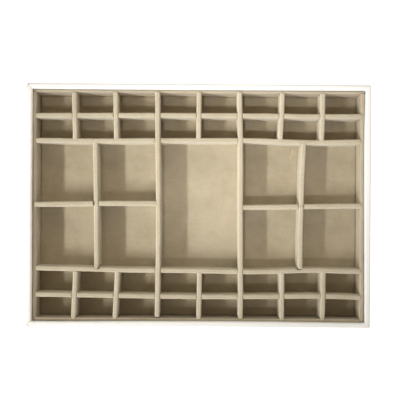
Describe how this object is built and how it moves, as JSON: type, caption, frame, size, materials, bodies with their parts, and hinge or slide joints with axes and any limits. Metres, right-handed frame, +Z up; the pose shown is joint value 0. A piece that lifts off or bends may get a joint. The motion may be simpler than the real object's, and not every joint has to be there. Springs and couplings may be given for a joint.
{
  "type": "jewelry tray",
  "caption": "Open shallow jewelry tray with a white covered frame, beige velvet lining and a lift-out grid of velvet-wrapped dividers for rings, earrings and necklaces.",
  "frame": {"origin": "middle of the underside, on the surface that the tray stands on", "axes": "+X to the right along the tray's length, +Y towards the back along its width, +Z up out of the open top"},
  "size_m": [0.343, 0.242, 0.032],
  "materials": {
    "frame_fibreboard": "matte",
    "white_leatherette": "satin",
    "greyboard": "matte",
    "beige_velvet": "matte",
    "base_felt": "matte"
  },
  "bodies": {
    "tray_case": {"rail_front": "frame_fibreboard", "rail_back": "frame_fibreboard", "rail_left": "frame_fibreboard", "rail_right": "frame_fibreboard", "base_panel": "frame_fibreboard", "leatherette_wrap": "white_leatherette", "base_pad": "base_felt", "floor_board": "greyboard", "floor_velvet": "beige_velvet", "liner_board_back": "greyboard", "liner_velvet_back": "beige_velvet", "liner_board_front": "greyboard", "liner_velvet_front": "beige_velvet", "liner_board_left": "greyboard", "liner_velvet_left": "beige_velvet", "liner_board_right": "greyboard", "liner_velvet_right": "beige_velvet"},
    "divider_grid": {"long_divider_left_board": "greyboard", "long_divider_right_board": "greyboard", "back_divider_far_left_board": "greyboard", "back_divider_left_board": "greyboard", "back_divider_centre_board": "greyboard", "back_divider_right_board": "greyboard", "back_divider_far_right_board": "greyboard", "front_divider_far_left_board": "greyboard", "front_divider_left_board": "greyboard", "front_divider_centre_board": "greyboard", "front_divider_right_board": "greyboard", "front_divider_far_right_board": "greyboard", "bay_divider_left_board": "greyboard", "bay_divider_right_board": "greyboard", "cross_divider_back_outer_board": "greyboard", "cross_divider_back_inner_board": "greyboard", "bay_cross_divider_left_board": "greyboard", "bay_cross_divider_right_board": "greyboard", "cross_divider_front_inner_board": "greyboard", "cross_divider_front_outer_board": "greyboard", "long_divider_left_velvet": "beige_velvet", "long_divider_right_velvet": "beige_velvet", "back_divider_far_left_velvet": "beige_velvet", "back_divider_left_velvet": "beige_velvet", "back_divider_centre_velvet": "beige_velvet", "back_divider_right_velvet": "beige_velvet", "back_divider_far_right_velvet": "beige_velvet", "front_divider_far_left_velvet": "beige_velvet", "front_divider_left_velvet": "beige_velvet", "front_divider_centre_velvet": "beige_velvet", "front_divider_right_velvet": "beige_velvet", "front_divider_far_right_velvet": "beige_velvet", "bay_divider_left_velvet": "beige_velvet", "bay_divider_right_velvet": "beige_velvet", "cross_divider_back_outer_velvet": "beige_velvet", "cross_divider_back_inner_velvet": "beige_velvet", "bay_cross_divider_left_velvet": "beige_velvet", "bay_cross_divider_right_velvet": "beige_velvet", "cross_divider_front_inner_velvet": "beige_velvet", "cross_divider_front_outer_velvet": "beige_velvet"}
  },
  "joints": [
    {"name": "divider_grid_lift", "type": "slide", "parent": "tray_case", "child": "divider_grid", "axis": [0, 0, 1], "range_m": [0, 0.04]}
  ]
}
